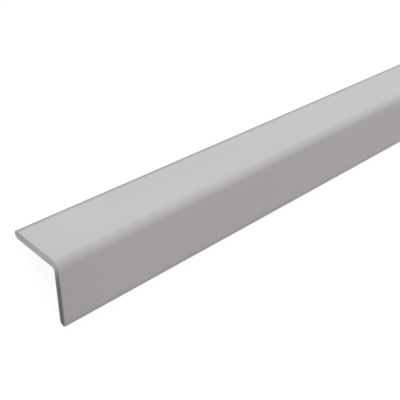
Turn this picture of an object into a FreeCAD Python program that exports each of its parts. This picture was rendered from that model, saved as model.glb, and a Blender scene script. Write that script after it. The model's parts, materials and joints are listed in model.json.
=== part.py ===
# Corner guard moulding: one straight extruded angle with two equal legs.
#
# The outer corner is rounded to take knocks, the corner inside has a small root fillet,
# both toes are rolled to a full round, and the two sawn ends are eased.
# The strip lies as it rests on a floor: on its toes, with the corner up as a ridge.
#
# Millimetres. Y runs along the strip and Z is up. The origin is on the floor, below the
# middle of the ridge.
import FreeCAD, Part
import math
import os

# Driving dimensions
stock_length = 1219.2  # 4 ft of stock, sawn square at both ends
leg_width = 25.4  # 1 in, from the sharp corner to the tip of a toe
wall = 3.2  # 1/8 in, the same in both legs
root_radius = 1.0  # fillet in the corner that seats over a wall's corner
end_easing = 0.2  # rounding of the edges round each sawn end

# Worked out from them
corner_radius = root_radius + wall  # the wall stays even round the ridge
toe_radius = wall / 2
toe_reach = leg_width - toe_radius
root_reach = wall + root_radius
leg_slope = 45.0  # degrees that each leg falls from the ridge at rest
ridge_height = leg_width * math.sin(math.radians(leg_slope)) + toe_radius

SAME_PLACE = 0.01


def section_point(across, up):
    """A point of the section, drawn with its sharp outer corner at the origin."""
    return FreeCAD.Vector(across, 0.0, up)


def round_corner(centre_across, centre_up, radius, start, end):
    """An arc of the section from one angle to another, in degrees from +X towards +Z."""
    points = []
    for angle in (start, (start + end) / 2, end):
        turn = math.radians(angle)
        across = centre_across + radius * math.cos(turn)
        up = centre_up + radius * math.sin(turn)
        points.append(section_point(across, up))
    return Part.Arc(*points)


def section_face():
    """The whole section: one leg runs level to -X, the other hangs plumb to -Z."""
    ridge = round_corner(-corner_radius, -corner_radius, corner_radius, 90, 0)
    plumb_toe = round_corner(-toe_radius, -toe_reach, toe_radius, 0, -180)
    root = round_corner(-root_reach, -root_reach, root_radius, 0, 90)
    level_toe = round_corner(-toe_reach, -toe_radius, toe_radius, -90, -270)

    arcs = [ridge, plumb_toe, root, level_toe]
    edges = []
    for arc, following in zip(arcs, arcs[1:] + arcs[:1]):
        edges.append(arc.toShape())
        edges.append(Part.LineSegment(arc.EndPoint, following.StartPoint).toShape())
    return Part.Face(Part.Wire(edges))


def edges_at(solid, place):
    """The edges of a sawn end: those that lie wholly in its plane."""
    found = []
    for edge in solid.Edges:
        box = edge.BoundBox
        if abs(box.YMin - place) < SAME_PLACE and abs(box.YMax - place) < SAME_PLACE:
            found.append(edge)
    return found


def corner_guard():
    """The strip: the section pushed out to its length, its ends eased, stood on its toes."""
    strip = section_face().extrude(FreeCAD.Vector(0.0, stock_length, 0.0))
    sawn_edges = edges_at(strip, 0.0) + edges_at(strip, stock_length)
    strip = strip.makeFillet(end_easing, sawn_edges).Solids[0]
    strip.rotate(FreeCAD.Vector(0, 0, 0), FreeCAD.Vector(0, 1, 0), -leg_slope)
    strip.translate(FreeCAD.Vector(0.0, -stock_length / 2, ridge_height))
    return strip


os.makedirs("parts", exist_ok=True)
guard = corner_guard()
guard.exportStep("parts/corner_guard.step")

box = guard.optimalBoundingBox(False)
print("corner_guard", guard.ShapeType, "valid", guard.isValid(), "solids", len(guard.Solids))
print(f"size {box.XLength:.2f} x {box.YLength:.2f} x {box.ZLength:.2f} mm")
print(f"lowest {box.ZMin:.3f}, highest {box.ZMax:.3f}, volume {guard.Volume / 1000:.1f} cm3")
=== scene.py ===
# %% [markdown]
# A corner guard is one extruded strip: two equal legs, a rounded ridge where they meet, and a
# round toe along each free edge. The strip is glued over a wall's outside corner. The lesson
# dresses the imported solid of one 4 ft length as it lies on the floor, on both toes with the
# ridge up. Everything is in metres, in the solid's own frame: Y runs along the strip, Z is up.

import json
import math

import bpy
from mathutils import Matrix, Vector


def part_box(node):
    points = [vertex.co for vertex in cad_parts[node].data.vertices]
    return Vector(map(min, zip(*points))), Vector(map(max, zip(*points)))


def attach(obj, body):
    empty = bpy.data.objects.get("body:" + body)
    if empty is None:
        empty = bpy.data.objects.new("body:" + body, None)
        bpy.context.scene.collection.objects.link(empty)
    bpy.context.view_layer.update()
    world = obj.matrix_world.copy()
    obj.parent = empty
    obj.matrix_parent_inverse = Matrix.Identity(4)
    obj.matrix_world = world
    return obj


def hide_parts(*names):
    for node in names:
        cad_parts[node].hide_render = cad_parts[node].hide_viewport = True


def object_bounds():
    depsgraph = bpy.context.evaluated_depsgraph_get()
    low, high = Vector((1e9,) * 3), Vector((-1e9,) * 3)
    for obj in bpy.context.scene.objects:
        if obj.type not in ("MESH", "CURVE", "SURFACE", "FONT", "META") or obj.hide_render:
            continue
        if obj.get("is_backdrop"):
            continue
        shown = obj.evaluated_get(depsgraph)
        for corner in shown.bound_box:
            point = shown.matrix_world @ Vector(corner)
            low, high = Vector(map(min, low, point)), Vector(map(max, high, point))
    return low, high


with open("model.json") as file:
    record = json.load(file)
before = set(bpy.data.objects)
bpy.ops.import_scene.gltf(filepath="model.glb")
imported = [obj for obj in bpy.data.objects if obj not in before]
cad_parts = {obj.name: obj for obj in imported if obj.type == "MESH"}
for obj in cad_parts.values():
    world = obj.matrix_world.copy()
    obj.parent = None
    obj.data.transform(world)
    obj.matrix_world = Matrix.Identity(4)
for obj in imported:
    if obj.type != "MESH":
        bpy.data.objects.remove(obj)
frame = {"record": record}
cad_low, cad_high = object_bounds()
plastic = frame["record"]["materials"][0]
plastic_grey = plastic["base_color"][0]
print("packed strip, metres:", [round(side, 4) for side in cad_high - cad_low])
print("its plastic:", plastic["finish"])
print("its grey:", plastic_grey)

# %% [markdown]
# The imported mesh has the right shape, but its faces are slivers as long as the strip, and all of
# them have one finish. It could stay and be painted by place. Here the strip is swept again from
# its own drawing instead, as the real one is: its faces are short and even, and the sawn ends
# get their own finish. The wall and the radii are the drawing's values. The length and the legs'
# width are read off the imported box, so the swept strip always fits the solid it stands for.

# %% The drawing's sizes
MM = 0.001
LEG_SLOPE = math.radians(45.0)

wall = 3.2 * MM
root_radius = 1.0 * MM
ridge_radius = root_radius + wall
end_easing = 0.2 * MM

strip_low, strip_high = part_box("corner_guard")
strip_length = strip_high.y - strip_low.y
strip_span = strip_high.x - strip_low.x
leg_width = (strip_span - wall) / (2 * math.sin(LEG_SLOPE)) + wall
ridge_height = leg_width * math.sin(LEG_SLOPE) + wall / 2
print(f"leg {leg_width / MM:.2f} mm wide, strip {strip_length / MM:.1f} mm long")
print(f"the ridge, before it is rounded, is {ridge_height / MM:.2f} mm up")

# %% [markdown]
# Both finishes and the sweep are node trees. Two small helpers keep their recipes short: one
# adds a node, sets its fields and joins its inputs, the other does so for one step of a
# calculation and gives back the result.


# %% Helpers for node trees
def add_node(tree, kind, fields=None, inputs=None):
    """Adds a node, sets its own fields, then sets or joins its inputs by name or number."""
    node = tree.nodes.new(kind)
    for name, value in (fields or {}).items():
        setattr(node, name, value)
    for name, value in (inputs or {}).items():
        if isinstance(value, bpy.types.NodeSocket):
            tree.links.new(value, node.inputs[name])
        else:
            node.inputs[name].default_value = value
    return node


def math_node(tree, operation, first, second=0.0):
    """One step of a calculation with numbers or sockets; gives back its result socket."""
    node = add_node(tree, "ShaderNodeMath", {"operation": operation}, {0: first, 1: second})
    return node.outputs[0]


# %% [markdown]
# Skin and sawn ends are the same plastic with different surfaces. One material could hold both
# and mix them by place, but two are easier to read, and they share what is alike: a Principled
# shader that bends light as plastic does, and one grey level as its colour. Each tree reads the
# strip's own coordinates, so its pattern stays put from every side.

# %% A plain plastic finish
PLASTIC_IOR = 1.5


def plastic_finish(name):
    """A new material of plain plastic; gives back the material, its tree and its shader."""
    finish = bpy.data.materials.new(name)
    finish.use_nodes = True
    shader = finish.node_tree.nodes["Principled BSDF"]
    shader.inputs["IOR"].default_value = PLASTIC_IOR
    return finish, finish.node_tree, shader


def place_on_strip(tree):
    """The place in the strip's own coordinates, whole and split into X, Y and Z."""
    place = add_node(tree, "ShaderNodeTexCoord").outputs["Object"]
    return place, add_node(tree, "ShaderNodeSeparateXYZ", None, {0: place}).outputs


def paint_grey(tree, shader, level):
    """Makes one level the shader's colour, the same in red, green and blue."""
    colour = add_node(tree, "ShaderNodeCombineColor", None, {0: level, 1: level, 2: level})
    tree.links.new(colour.outputs[0], shader.inputs["Base Color"])


# %% [markdown]
# The fine marks of both come from noise: a coarse one with a little of a fine one over it. The
# marks are far too fine and shallow to be worth faces of their own, so they tint the grey and
# bump the surface. A noise lies mostly around its middle, so that part of it is spread over the
# range wanted.

# %% Helpers for fine marks
COARSE_SHARE = 0.7
NOISE_LOW = 0.3
NOISE_HIGH = 0.7


def stretched_noise(tree, place, across, along, detail, roughness=0.5):
    """Noise with so many grains a metre across the strip and along it."""
    squeeze = add_node(tree, "ShaderNodeMapping", None, {
        "Vector": place, "Scale": (across, along, across)})
    noise = add_node(tree, "ShaderNodeTexNoise", None, {
        "Vector": squeeze.outputs[0], "Scale": 1.0, "Detail": detail, "Roughness": roughness})
    return noise.outputs["Fac"]


def layered(tree, coarse, fine):
    """A coarse noise with a little of a fine one over it."""
    main = math_node(tree, "MULTIPLY", coarse, COARSE_SHARE)
    over = math_node(tree, "MULTIPLY", fine, 1.0 - COARSE_SHARE)
    return math_node(tree, "ADD", main, over)


def spread(tree, noise, low, high):
    """Maps the range in which most of a noise lies on to the range wanted."""
    node = add_node(tree, "ShaderNodeMapRange", None, {
        "Value": noise, "From Min": NOISE_LOW, "From Max": NOISE_HIGH, "To Min": low, "To Max": high})
    return node.outputs["Result"]


def rough_up(tree, shader, height, strength, depth):
    """Bumps the surface by a height from 0 to 1, so many metres deep."""
    bump = add_node(tree, "ShaderNodeBump", None, {
        "Strength": strength, "Distance": depth, "Height": height})
    tree.links.new(bump.outputs[0], shader.inputs["Normal"])


# %% [markdown]
# The skin is rigid plastic straight from the die: an even light grey with a satin sheen. The
# die leaves faint lines that run the whole length, and handling leaves soft dull clouds. A
# picture of such lines would blur or repeat on a strip this long. A noise that is squeezed across
# the strip and stretched along it draws them at any length, because the strip is straight. The
# lines tint the grey very slightly, and they change the sheen and a low bump more than the
# colour, as on the real strip.

# %% Skin of the strip
LINE_TINT = 0.03
CLOUD_TINT = 0.01
LINE_SHEEN = 0.05
SATIN_ROUGHNESS = 0.49
CLOUD_SHEEN = 0.05
SKIN_BUMP = 0.4
SKIN_BUMP_DEPTH = 0.05 * MM

skin, skin_tree, skin_shader = plastic_finish("satin_grey_plastic")
skin_place, skin_axes = place_on_strip(skin_tree)
die_lines = stretched_noise(skin_tree, skin_place, across=1400.0, along=3.0, detail=3.0)
clouds = stretched_noise(skin_tree, skin_place, across=60.0, along=9.0, detail=2.0)
grain = stretched_noise(skin_tree, skin_place, across=5000.0, along=5000.0, detail=2.0)

line_tint = spread(skin_tree, die_lines, 1.0 - LINE_TINT, 1.0 + LINE_TINT)
cloud_tint = spread(skin_tree, clouds, 1.0 - CLOUD_TINT, 1.0 + CLOUD_TINT)
streaks = math_node(skin_tree, "MULTIPLY", line_tint, cloud_tint)

line_sheen = spread(skin_tree, die_lines, -LINE_SHEEN, LINE_SHEEN)
cloud_sheen = spread(skin_tree, clouds, SATIN_ROUGHNESS - CLOUD_SHEEN, SATIN_ROUGHNESS + CLOUD_SHEEN)
sheen_level = math_node(skin_tree, "ADD", line_sheen, cloud_sheen)
skin_tree.links.new(sheen_level, skin_shader.inputs["Roughness"])

skin_relief = layered(skin_tree, die_lines, grain)
rough_up(skin_tree, skin_shader, skin_relief, SKIN_BUMP, SKIN_BUMP_DEPTH)
print("skin nodes so far:", len(skin_tree.nodes))

# %% [markdown]
# The photo shows two soft changes of tone on the skin. Each toe ends in a darker line of painted
# shade, and the painted shade is deeper along the leg that faces the light. The last two
# centimetres at the near end are a little darker. Painted points could carry such tones, but the
# mesh would need points wherever a tone changes. Ramps over a height above the floor and a
# distance from the end need none, and they hold from every side.


# %% Painted shade on the toes, and a darker near end
def soft_ramp(tree, value, start, stop, low, high):
    """An S-shaped ramp from the low tone at the start to the high tone at the stop."""
    node = add_node(tree, "ShaderNodeMapRange", {"interpolation_type": "SMOOTHSTEP"}, {
        "Value": value, "From Min": start, "From Max": stop, "To Min": low, "To Max": high})
    return node.outputs["Result"]


# Painted shade along the toes: full below the first height, gone above the second, deeper on the lit leg.
TOE_SHADE_DEEP_BELOW = 2.57 * MM
TOE_SHADE_ENDS_ABOVE = 3.74 * MM
LIT_TOE_PAINTED_SHADE = 0.64
OTHER_TOE_PAINTED_SHADE = 0.815
# The last two centimetres at the near end are a little darker.
END_TONE = 0.95
END_DARKER_FOR = 20.0 * MM

# Painted shade on each toe, by its height above the floor.
lit_toe_shade = soft_ramp(skin_tree, skin_axes["Z"], TOE_SHADE_DEEP_BELOW, TOE_SHADE_ENDS_ABOVE, LIT_TOE_PAINTED_SHADE, 1.0)
other_toe_shade = soft_ramp(skin_tree, skin_axes["Z"], TOE_SHADE_DEEP_BELOW, TOE_SHADE_ENDS_ABOVE, OTHER_TOE_PAINTED_SHADE, 1.0)
on_other_leg = math_node(skin_tree, "GREATER_THAN", skin_axes["X"], 0.0)
painted_toe_shade = add_node(skin_tree, "ShaderNodeMix", {"data_type": "FLOAT"}, {
    0: on_other_leg, 2: lit_toe_shade, 3: other_toe_shade}).outputs[0]
from_cut = math_node(skin_tree, "ADD", skin_axes["Y"], strip_length / 2)
end_tone = soft_ramp(skin_tree, from_cut, 0.0, END_DARKER_FOR, END_TONE, 1.0)

toned = math_node(skin_tree, "MULTIPLY", painted_toe_shade, end_tone)
shade = math_node(skin_tree, "MULTIPLY", streaks, toned)
paint_grey(skin_tree, skin_shader, math_node(skin_tree, "MULTIPLY", shade, plastic_grey))
print("skin nodes:", len(skin_tree.nodes))

# %% [markdown]
# A round saw leaves the two ends duller than the skin, with fine curved marks and crumbs. The
# marks are circles round the blade's centre, which was below the strip and to one side, so a
# noise that reads only the distance from that centre draws them. A picture of saw marks could
# do it too, but this needs no picture and fits a wall of any width.

# %% Saw marks
BLADE_CENTRE = (-0.040, 0.0, -0.110)
MARKS_A_METRE = 3500.0
SAWN_ROUGHNESS = 0.7
SAWN_BUMP = 0.5
SAWN_BUMP_DEPTH = 0.08 * MM

sawn, sawn_tree, sawn_shader = plastic_finish("sawn_grey_plastic")
sawn_shader.inputs["Roughness"].default_value = SAWN_ROUGHNESS
sawn_place, sawn_axes = place_on_strip(sawn_tree)

face_place = add_node(sawn_tree, "ShaderNodeCombineXYZ", None, {
    "X": sawn_axes["X"], "Z": sawn_axes["Z"]})
blade_distance = add_node(sawn_tree, "ShaderNodeVectorMath", {"operation": "DISTANCE"}, {
    0: face_place.outputs[0], 1: BLADE_CENTRE})
arc_place = math_node(sawn_tree, "MULTIPLY", blade_distance.outputs["Value"], MARKS_A_METRE)
saw_marks = add_node(sawn_tree, "ShaderNodeTexNoise", {"noise_dimensions": "1D"}, {
    "W": arc_place, "Scale": 1.0, "Detail": 3.0, "Roughness": 0.6}).outputs["Fac"]
crumbs = stretched_noise(sawn_tree, sawn_place, across=4000.0, along=4000.0, detail=3.0, roughness=0.7)
sawn_relief = layered(sawn_tree, saw_marks, crumbs)
rough_up(sawn_tree, sawn_shader, sawn_relief, SAWN_BUMP, SAWN_BUMP_DEPTH)
print("saw marks: centre", BLADE_CENTRE, "m, about", MARKS_A_METRE * MM, "a millimetre")

# %% [markdown]
# In the photo the sawn face of one leg is far darker than the other's, though both lie in one
# plane. Here both get the same light, and the dark is painted shade. It darkens over the first
# few millimetres from the ridge and then stays dark down to the toe. A second material on that
# leg would end in a hard line. So the painted shade is in the finish of the ends, laid on by the
# place across the strip: a fall that is quick at first and then slow, an exponential. Beside the
# skin, on both sides of the wall, the painted shade is softer, by ramps over the depth below the
# outer skin.

# %% Painted shade on one leg of the near end
# The painted shade: its darkest tone, where its fall starts, its scale, and how much softer it is beside
# the skin.
DARKEST = 0.215
SHADE_FROM = -0.1 * MM
SHADE_FADE = 1.9 * MM
OUTER_LIFT = 0.32
OUTER_SOFT_FOR = 1.4 * MM
INNER_LIFT = 0.15
INNER_SOFT_FOR = 1.5 * MM

folded = math_node(sawn_tree, "ADD", math_node(sawn_tree, "ABSOLUTE", sawn_axes["X"]), sawn_axes["Z"])
below_ridge = math_node(sawn_tree, "SUBTRACT", ridge_height, folded)
skin_depth = math_node(sawn_tree, "MULTIPLY", below_ridge, math.cos(LEG_SLOPE))
from_inside = math_node(sawn_tree, "SUBTRACT", wall, skin_depth)

past_ridge = math_node(sawn_tree, "SUBTRACT", sawn_axes["X"], SHADE_FROM)
faded = math_node(sawn_tree, "EXPONENT", math_node(sawn_tree, "DIVIDE", past_ridge, -SHADE_FADE))
fall = math_node(sawn_tree, "MULTIPLY", faded, 1.0 - DARKEST)
# Painted shade on the sawn face of the hanging leg.
painted_shade_side = math_node(sawn_tree, "ADD", fall, DARKEST)
softer_places = [
    (skin_depth, end_easing, OUTER_SOFT_FOR, OUTER_LIFT),
    (from_inside, end_easing, INNER_SOFT_FOR, INNER_LIFT),
]
for place, start, stop, lift in softer_places:
    lifted = soft_ramp(sawn_tree, place, start, stop, lift, 0.0)
    painted_shade_side = math_node(sawn_tree, "ADD", painted_shade_side, lifted)
print("dark side: from full tone to", DARKEST, "of it, the fall's scale is", SHADE_FADE / MM, "mm")

# %% [markdown]
# The other leg's face is pale, with a small line of painted shade by its toe, just below the outer
# skin. The darker of the two tones wins at each place, which lets the pale side and the shaded side
# meet at the ridge without a seam. The far end has no such tones, because the photo doesn't show it.

# %% Pale side, its painted shade and grey of the sawn ends
SAWN_GREY = 0.486
MARK_TINT = 0.10
EDGE_SHADE_DARK = 0.27
EDGE_SHADE_DEPTH = (0.8 * MM, 1.8 * MM)
EDGE_SHADE_HEIGHT = (3.8 * MM, 7.0 * MM)

# A small line of painted shade just below the outer skin, near the toe.
edge_shade_depth = soft_ramp(sawn_tree, skin_depth, *EDGE_SHADE_DEPTH, EDGE_SHADE_DARK, 0.0)
edge_shade_reach = soft_ramp(sawn_tree, sawn_axes["Z"], *EDGE_SHADE_HEIGHT, 1.0, 0.0)
edge_shade = math_node(sawn_tree, "MULTIPLY", edge_shade_depth, edge_shade_reach)
pale_side = math_node(sawn_tree, "SUBTRACT", 1.0, edge_shade)
# The darker of the two painted shades wins at each place, on the near end only.
leg_painted_shade = math_node(sawn_tree, "MINIMUM", painted_shade_side, pale_side)
at_near_end = math_node(sawn_tree, "LESS_THAN", sawn_axes["Y"], 0.0)
tone = add_node(sawn_tree, "ShaderNodeMix", {"data_type": "FLOAT"}, {
    0: at_near_end, 2: 1.0, 3: leg_painted_shade}).outputs[0]
mark_tint = spread(sawn_tree, sawn_relief, SAWN_GREY * (1.0 - MARK_TINT), SAWN_GREY * (1.0 + MARK_TINT))
paint_grey(sawn_tree, sawn_shader, math_node(sawn_tree, "MULTIPLY", tone, mark_tint))
print("sawn end nodes:", len(sawn_tree.nodes))

# %% [markdown]
# The strip itself is one section pushed through a die. A bent plate with a thickness could make
# it, but its toes would be square. Its shape follows a rule, so Geometry Nodes make it from
# named sizes: the drawing's six corners become a closed outline, each corner is rounded with its
# own radius, and the outline is swept down the length.

# %% The tree and its named inputs
sweep = bpy.data.node_groups.new("Swept corner guard", "GeometryNodeTree")
sweep.interface.new_socket(name="Geometry", in_out="OUTPUT", socket_type="NodeSocketGeometry")
sizes = {
    "Length": strip_length,
    "Leg width": leg_width,
    "Wall": wall,
    "Ridge radius": ridge_radius,
    "Root radius": root_radius,
    "End easing": end_easing,
    "Ridge height": ridge_height,
    "Leg slope": LEG_SLOPE,
    "Flat spacing": 2.0 * MM,
}
steps = {"Arc steps": 24, "Easing steps": 6, "Lengths": 24}
finishes = {"Skin": skin, "Sawn end": sawn}
sockets = {}
for inputs, kind in ((sizes, "Float"), (steps, "Int"), (finishes, "Material")):
    for name in inputs:
        sockets[name] = sweep.interface.new_socket(
            name=name, in_out="INPUT", socket_type="NodeSocket" + kind)
given = add_node(sweep, "NodeGroupInput").outputs
print("named inputs:", ", ".join(sockets))

# %% [markdown]
# First the outline, drawn flat: the sharp outer corner is at the origin, one leg runs to the
# left and the other hangs down. Arcs could be placed by their centres, but a drawing gives
# corners and radii, and Fillet Curve makes arcs from those. An Index Switch gives each of the six
# points its place, and a second one gives each its radius. A toe is two corners with half the
# wall as radius, so its two arcs end in the same spot. The outline is made a mesh for one step,
# to merge such doubles, or the end faces would cross themselves there.


# %% Outline of the section
def index_switch(tree, kind, values):
    """A value for each point, by its number in the outline."""
    node = add_node(tree, "GeometryNodeIndexSwitch", {"data_type": kind})
    while len(node.index_switch_items) < len(values):
        node.index_switch_items.new()
    tree.links.new(add_node(tree, "GeometryNodeInputIndex").outputs[0], node.inputs["Index"])
    for number, value in enumerate(values):
        tree.links.new(value, node.inputs[number + 1])
    return node.outputs[0]


def corner(tree, across, up):
    """A corner of the drawing, from sockets or numbers."""
    return add_node(tree, "ShaderNodeCombineXYZ", None, {"X": across, "Y": up}).outputs[0]


SAME_SPOT = 0.002 * MM
toe_tip = math_node(sweep, "MULTIPLY", given["Leg width"], -1.0)
inside = math_node(sweep, "MULTIPLY", given["Wall"], -1.0)
toe_radius = math_node(sweep, "MULTIPLY", given["Wall"], 0.5)
corners = [
    corner(sweep, 0.0, 0.0),
    corner(sweep, 0.0, toe_tip),
    corner(sweep, inside, toe_tip),
    corner(sweep, inside, inside),
    corner(sweep, toe_tip, inside),
    corner(sweep, toe_tip, 0.0),
]
radii = [given["Ridge radius"], toe_radius, toe_radius, given["Root radius"], toe_radius, toe_radius]
points = add_node(sweep, "GeometryNodeMeshLine", None, {"Count": len(corners)})
open_line = add_node(sweep, "GeometryNodeMeshToCurve", None, {"Mesh": points.outputs[0]})
closed = add_node(sweep, "GeometryNodeSetSplineCyclic", None, {0: open_line.outputs[0], "Cyclic": True})
sharp = add_node(sweep, "GeometryNodeSetPosition", None, {
    "Geometry": closed.outputs[0], "Position": index_switch(sweep, "VECTOR", corners)})
rounded = add_node(sweep, "GeometryNodeFilletCurve", {"mode": "POLY"}, {
    "Curve": sharp.outputs[0], "Count": given["Arc steps"], "Radius": index_switch(sweep, "FLOAT", radii)})
loop = add_node(sweep, "GeometryNodeCurveToMesh", None, {"Curve": rounded.outputs[0]})
merged = add_node(sweep, "GeometryNodeMergeByDistance", None, {
    "Geometry": loop.outputs[0], "Distance": SAME_SPOT})
smooth_corners = add_node(sweep, "GeometryNodeMeshToCurve", None, {"Mesh": merged.outputs[0]})
print("outline:", len(corners), "corners, each rounded in", steps["Arc steps"], "steps")

# %% [markdown]
# The four flat sides are still single long steps. They are cut up too, so that smooth shading
# bends only beside an arc and the flats stay flat. How many cuts a step gets follows from its
# length, so the short steps of the arcs get none. Then each point notes its place in the
# drawing and the way into the wall, because the sweep below needs both.


# %% Cuts along the flats
def capture(tree, geometry, fields):
    """Stores fields on the points, to be read after the geometry has changed."""
    node = add_node(tree, "GeometryNodeCaptureAttribute", {"domain": "POINT"}, {0: geometry})
    for number, (name, (kind, value)) in enumerate(fields.items()):
        node.capture_items.new(kind, name)
        tree.links.new(value, node.inputs[number + 1])
    return node.outputs


here = add_node(sweep, "GeometryNodeInputPosition").outputs[0]
onward = add_node(sweep, "GeometryNodeOffsetPointInCurve", None, {"Offset": 1})
there = add_node(sweep, "GeometryNodeFieldAtIndex", {"data_type": "FLOAT_VECTOR"}, {
    "Index": onward.outputs["Point Index"], "Value": here})
step = add_node(sweep, "ShaderNodeVectorMath", {"operation": "DISTANCE"}, {0: here, 1: there.outputs[0]})
cuts = math_node(sweep, "FLOOR", math_node(sweep, "DIVIDE", step.outputs["Value"], given["Flat spacing"]))
outline = add_node(sweep, "GeometryNodeSubdivideCurve", None, {
    "Curve": smooth_corners.outputs[0], "Cuts": cuts})
level_curve = add_node(sweep, "GeometryNodeSetCurveNormal", {"mode": "Z_UP"}, {"Curve": outline.outputs[0]})
drawn = capture(sweep, level_curve.outputs[0], {
    "Drawn at": ("VECTOR", here),
    "Into the wall": ("VECTOR", add_node(sweep, "GeometryNodeInputNormal").outputs[0]),
})
print("flats are cut every", sizes["Flat spacing"] / MM, "mm")

# %% [markdown]
# Next the line that the outline runs along. Its stations are even down the length, and close
# together at each end. There they follow a quarter circle: as the station goes in from the end
# by one minus the cosine, the outline shrinks by one minus the sine. That eases the sawn edge,
# as a pass with a file does. A bevel on the finished mesh could ease it too, but it would have to
# find the edge first.

# %% Stations down the length
easing_steps, lengths = given["Easing steps"], given["Lengths"]
last = math_node(sweep, "ADD", math_node(sweep, "MULTIPLY", easing_steps, 2.0), lengths)
stations = add_node(sweep, "GeometryNodeMeshLine", None, {"Count": math_node(sweep, "ADD", last, 1.0)})
rail = add_node(sweep, "GeometryNodeMeshToCurve", None, {"Mesh": stations.outputs[0]})

number = add_node(sweep, "GeometryNodeInputIndex").outputs[0]
from_end = math_node(sweep, "MINIMUM", number, math_node(sweep, "SUBTRACT", last, number))
eased_share = math_node(sweep, "MINIMUM", math_node(sweep, "DIVIDE", from_end, easing_steps), 1.0)
turn = math_node(sweep, "MULTIPLY", eased_share, math.pi / 2)
inset = math_node(sweep, "MULTIPLY", given["End easing"], math_node(
    sweep, "SUBTRACT", 1.0, math_node(sweep, "SINE", turn)))

both_easings = math_node(sweep, "MULTIPLY", given["End easing"], 2.0)
straight = math_node(sweep, "SUBTRACT", given["Length"], both_easings)
run = math_node(sweep, "DIVIDE", math_node(sweep, "SUBTRACT", number, easing_steps), lengths)
run_share = math_node(sweep, "MINIMUM", math_node(sweep, "MAXIMUM", run, 0.0), 1.0)
from_middle = math_node(sweep, "SUBTRACT", run_share, 0.5)
centred = math_node(sweep, "MULTIPLY", from_middle, straight)
bulge = math_node(sweep, "MULTIPLY", given["End easing"], math_node(sweep, "COSINE", turn))
outward = math_node(sweep, "MULTIPLY", bulge, math_node(sweep, "SIGN", from_middle))
along = math_node(sweep, "ADD", centred, outward)
along_point = add_node(sweep, "ShaderNodeCombineXYZ", None, {"Y": along}).outputs[0]
placed = add_node(sweep, "GeometryNodeSetPosition", None, {
    "Geometry": rail.outputs[0], "Position": along_point})
railed = capture(sweep, placed.outputs[0], {"Along": ("FLOAT", along), "Inset": ("FLOAT", inset)})
print("stations:", 2 * steps["Easing steps"] + steps["Lengths"] + 1)

# %% [markdown]
# Curve to Mesh joins the two and closes both ends. Its own turning of the outline isn't needed:
# every point already knows its place in the drawing, its station and its inset, so Set Position
# puts it there exactly. Then the strip is turned so that both legs slope alike, and lifted
# until the toes stand on the floor.

# %% Sweep, turn and stand on the floor
swept = add_node(sweep, "GeometryNodeCurveToMesh", None, {
    "Curve": railed[0], "Profile Curve": drawn[0], "Fill Caps": True})
shrink = add_node(sweep, "ShaderNodeVectorMath", {"operation": "SCALE"}, {
    0: drawn["Into the wall"], "Scale": railed["Inset"]})
shrunk = add_node(sweep, "ShaderNodeVectorMath", {"operation": "ADD"}, {
    0: drawn["Drawn at"], 1: shrink.outputs[0]})
flat_place = add_node(sweep, "ShaderNodeSeparateXYZ", None, {0: shrunk.outputs[0]})
solid_place = add_node(sweep, "ShaderNodeCombineXYZ", None, {
    "X": flat_place.outputs["X"], "Y": railed["Along"], "Z": flat_place.outputs["Y"]})
shaped = add_node(sweep, "GeometryNodeSetPosition", None, {
    "Geometry": swept.outputs[0], "Position": solid_place.outputs[0]})
slope_turn = add_node(sweep, "ShaderNodeCombineXYZ", None, {
    "Y": math_node(sweep, "MULTIPLY", given["Leg slope"], -1.0)})
lift = add_node(sweep, "ShaderNodeCombineXYZ", None, {"Z": given["Ridge height"]})
standing = add_node(sweep, "GeometryNodeTransform", None, {
    "Geometry": shaped.outputs[0], "Rotation": slope_turn.outputs[0], "Translation": lift.outputs[0]})
print("nodes up to the standing strip:", len(sweep.nodes))

# %% [markdown]
# Each face then gets its finish. The sawn faces could be picked by their numbers, but those
# change with the steps. What doesn't change is that they look straight along Y, so that is the
# test. They are flat, and all the rest is smooth. The tree ends in Realize Instances and Set
# Material, so that what it gives is real faces with real materials.

# %% Finish of each face
LOOKS_ALONG = 0.999

facing = add_node(sweep, "ShaderNodeSeparateXYZ", None, {
    0: add_node(sweep, "GeometryNodeInputNormal").outputs[0]})
end_on = math_node(sweep, "ABSOLUTE", facing.outputs["Y"])
is_sawn = math_node(sweep, "GREATER_THAN", end_on, LOOKS_ALONG)
not_sawn = math_node(sweep, "SUBTRACT", 1.0, is_sawn)
smoothed = add_node(sweep, "GeometryNodeSetShadeSmooth", None, {
    "Geometry": standing.outputs[0], "Shade Smooth": not_sawn})
realized = add_node(sweep, "GeometryNodeRealizeInstances", None, {0: smoothed.outputs[0]})
skinned = add_node(sweep, "GeometryNodeSetMaterial", None, {
    "Geometry": realized.outputs[0], "Material": given["Skin"]})
finished = add_node(sweep, "GeometryNodeSetMaterial", None, {
    "Geometry": skinned.outputs[0], "Selection": is_sawn, "Material": given["Sawn end"]})
add_node(sweep, "NodeGroupOutput", None, {"Geometry": finished.outputs[0]})
print("nodes in the sweep:", len(sweep.nodes))

# %% [markdown]
# The modifier is given its sizes by each socket's identifier, before it first runs. Its result
# becomes a plain mesh of one closed piece, and the maker goes with its modifier, so what rides
# on the frame is only the mesh.


# %% Make the strip
def made_by(tree, name, values):
    """A plain mesh object from a Geometry Nodes tree and its named values."""
    maker = bpy.data.objects.new(name + "_maker", bpy.data.meshes.new(name + "_maker"))
    bpy.context.scene.collection.objects.link(maker)
    modifier = maker.modifiers.new("sweep", "NODES")
    modifier.node_group = tree
    for socket_name, value in values.items():
        modifier[sockets[socket_name].identifier] = value
    evaluated = maker.evaluated_get(bpy.context.evaluated_depsgraph_get())
    mesh = bpy.data.meshes.new_from_object(evaluated)
    bpy.data.objects.remove(maker)
    mesh.name = name
    piece = bpy.data.objects.new(name, mesh)
    bpy.context.scene.collection.objects.link(piece)
    return piece


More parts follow.
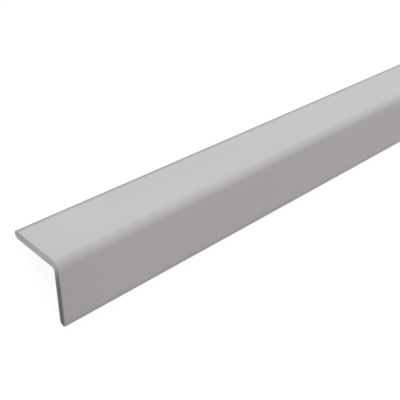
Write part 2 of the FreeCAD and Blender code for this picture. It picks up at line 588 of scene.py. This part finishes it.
strip = made_by(sweep, "guard_strip", {**sizes, **steps, **finishes})
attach(strip, "root")
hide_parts("corner_guard")
print("strip faces:", len(strip.data.polygons), "finishes:", [m.name for m in strip.data.materials])

# %% [markdown]
# The floor is pale and plain. Where the camera or a reflection meets it, it is nearly white of
# itself, with a little diffuse paint that still takes the strip's shadow. A white floor under
# more light could show as white too, but it would wash out the strip. For the light that bounces
# on to the strip it is an ordinary pale floor, which doesn't glow.


# %% Paper for the floor
def seen_directly(tree):
    """1 for what the camera, a reflection or a clear pane sees, 0 for light that bounces."""
    path = add_node(tree, "ShaderNodeLightPath").outputs
    mirrored = math_node(tree, "MAXIMUM", path["Is Glossy Ray"], path["Is Transmission Ray"])
    return math_node(tree, "MAXIMUM", path["Is Camera Ray"], mirrored)


def grey(level):
    """An opaque colour of one level."""
    return (level, level, level, 1.0)


FLOOR_BOUNCE = 0.6
FLOOR_GLOW = 0.91
FLOOR_SHADOW_PAINT = 0.14

paper = bpy.data.materials.new("pale_floor")
paper.use_nodes = True
paper_tree = paper.node_tree
paper_tree.nodes.clear()
bounce = add_node(paper_tree, "ShaderNodeBsdfDiffuse", None, {"Color": grey(FLOOR_BOUNCE)})
shadow_paint = add_node(paper_tree, "ShaderNodeBsdfDiffuse", None, {"Color": grey(FLOOR_SHADOW_PAINT)})
glow = add_node(paper_tree, "ShaderNodeEmission", None, {"Color": grey(1.0), "Strength": FLOOR_GLOW})
shown = add_node(paper_tree, "ShaderNodeAddShader", None, {0: glow.outputs[0], 1: shadow_paint.outputs[0]})
either = add_node(paper_tree, "ShaderNodeMixShader", None, {
    0: seen_directly(paper_tree), 1: bounce.outputs[0], 2: shown.outputs[0]})
add_node(paper_tree, "ShaderNodeOutputMaterial", None, {"Surface": either.outputs[0]})
print("floor nodes:", len(paper_tree.nodes))

# %% [markdown]
# The floor itself is one flat square. A small one would end within the picture, so it reaches
# many times the strip's length to every side.

# %% Floor
reach = 20.0
floor_mesh = bpy.data.meshes.new("floor")
floor_corners = [(-reach, -reach, 0.0), (reach, -reach, 0.0), (reach, reach, 0.0), (-reach, reach, 0.0)]
floor_mesh.from_pydata(floor_corners, [], [(0, 1, 2, 3)])
floor_mesh.materials.append(paper)
floor = bpy.data.objects.new("floor", floor_mesh)
bpy.context.scene.collection.objects.link(floor)
floor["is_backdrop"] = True
print("floor is", 2 * reach, "m square")

# %% [markdown]
# The photo's light is even from end to end of the strip. A lamp beside it would fade along so
# long a thing, so the light comes from far away: a pale sky all round, and one broad soft sun.
# The sky lights every side alike, with a faint rosy tint. As the floor does, it shows as plain
# white where it is seen directly.

# %% Sky
SKY_LEVEL = 0.722
SKY_TINT = (1.04, 0.965, 0.995)

sky = bpy.data.worlds.new("pale_sky")
bpy.context.scene.world = sky
sky.use_nodes = True
sky_tree = sky.node_tree
sky_tree.nodes.clear()
sky_light = add_node(sky_tree, "ShaderNodeBackground", None, {
    "Color": (*SKY_TINT, 1.0), "Strength": SKY_LEVEL})
sky_seen = add_node(sky_tree, "ShaderNodeBackground", None, {"Color": grey(1.0), "Strength": 1.0})
sky_either = add_node(sky_tree, "ShaderNodeMixShader", None, {
    0: seen_directly(sky_tree), 1: sky_light.outputs[0], 2: sky_seen.outputs[0]})
add_node(sky_tree, "ShaderNodeOutputWorld", None, {"Surface": sky_either.outputs[0]})
print("sky gives", SKY_LEVEL, "all round")

# %% [markdown]
# The sun stands to the left. The leg that faces it is the lighter one, and the other leg gets the
# sky alone. The sun stands behind the plane of that other leg, so the ridge is light for most of
# its bend and turns dark at its lower side, as it does in the photo. An area lamp could be as
# soft, but it would have to be far off and huge to light the strip evenly.

# %% Sun
SUN_LEVEL = 0.485
SUN_TINT = (0.94, 1.053, 1.007)
SUN_FROM = Vector((-0.93, -0.12, 0.37))
SUN_SPREAD = math.radians(30.0)

sun = bpy.data.lights.new("soft_sun", "SUN")
sun.energy = SUN_LEVEL * math.pi
sun.color = SUN_TINT
sun.angle = SUN_SPREAD
sun_lamp = bpy.data.objects.new("soft_sun", sun)
sun_lamp.rotation_mode = "QUATERNION"
sun_lamp.rotation_quaternion = SUN_FROM.to_track_quat("Z", "Y")
bpy.context.scene.collection.objects.link(sun_lamp)
print("sun gives", SUN_LEVEL, "from", [round(value, 2) for value in SUN_FROM.normalized()])

# %% [markdown]
# In the photo one leg is level and the other hangs plumb. The camera is first worked out in that
# pose, where the photo gives its turn, tilt and roll. Its place follows from one point, the
# outer corner of the near end before it is rounded: where that point shows in the picture, in
# pixels of a 400 by 400 frame, and how far in front of the lens it is.

# %% Camera beside a level leg
PICTURE = 400
CORNER_PIXEL = (58.73, 265.10)
CORNER_DEPTH = 0.20559
FOCAL_PIXELS = 689.7
VIEW_TURN = math.radians(-45.82)
VIEW_DOWN = math.radians(32.225)
VIEW_ROLL = math.radians(1.243)

forward = Vector((
    math.sin(VIEW_TURN) * math.cos(VIEW_DOWN),
    math.cos(VIEW_TURN) * math.cos(VIEW_DOWN),
    -math.sin(VIEW_DOWN)))
level_right = forward.cross(Vector((0.0, 0.0, 1.0))).normalized()
level_up = level_right.cross(forward)
right = level_right * math.cos(VIEW_ROLL) + level_up * math.sin(VIEW_ROLL)
up = level_up * math.cos(VIEW_ROLL) - level_right * math.sin(VIEW_ROLL)

sideways = (CORNER_PIXEL[0] - PICTURE / 2) / FOCAL_PIXELS * CORNER_DEPTH
downwards = (CORNER_PIXEL[1] - PICTURE / 2) / FOCAL_PIXELS * CORNER_DEPTH
from_corner = up * downwards - right * sideways - forward * CORNER_DEPTH
print("camera is", round(from_corner.length, 3), "m from the corner")

# %% [markdown]
# Camera and strip then turn together, by the legs' slope, until the strip lies on the floor. The
# picture stays the same, because only the floor and the sky have moved. Turning the strip alone
# would be simpler, but then the picture wouldn't show one leg level and the other plumb.

# %% Camera beside the lying strip
FILM = 36.0
NEAREST_SEEN = 0.01

lay_down = Matrix.Rotation(-LEG_SLOPE, 3, "Y")
near_corner = Vector((0.0, -strip_length / 2, ridge_height))
turned = lay_down @ Matrix((right, up, -forward)).transposed()
camera_data = bpy.data.cameras.new("camera")
camera_data.sensor_width = FILM
camera_data.lens = FOCAL_PIXELS / PICTURE * FILM
camera_data.clip_start = NEAREST_SEEN
camera = bpy.data.objects.new("camera", camera_data)
camera.matrix_world = Matrix.Translation(near_corner + lay_down @ from_corner) @ turned.to_4x4()
bpy.context.scene.collection.objects.link(camera)
bpy.context.scene.camera = camera
bpy.context.scene.view_settings.view_transform = "Standard"
print("camera at", [round(value, 3) for value in camera.location], "lens", round(camera_data.lens, 1))

# %% [markdown]
# Last, both boxes are compared, and how far the swept strip stands out of the imported one is
# printed. The swept strip has to fill the imported solid's box and stay in it. It passes only the
# top, by the hundredth of a millimetre that a flat facet cuts off the imported ridge.

# %% Boxes and finish
made_low, made_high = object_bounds()
proud = max(max(cad_low - made_low), max(made_high - cad_high))
print(f"proud of the packed box by {proud / MM:.3f} mm")
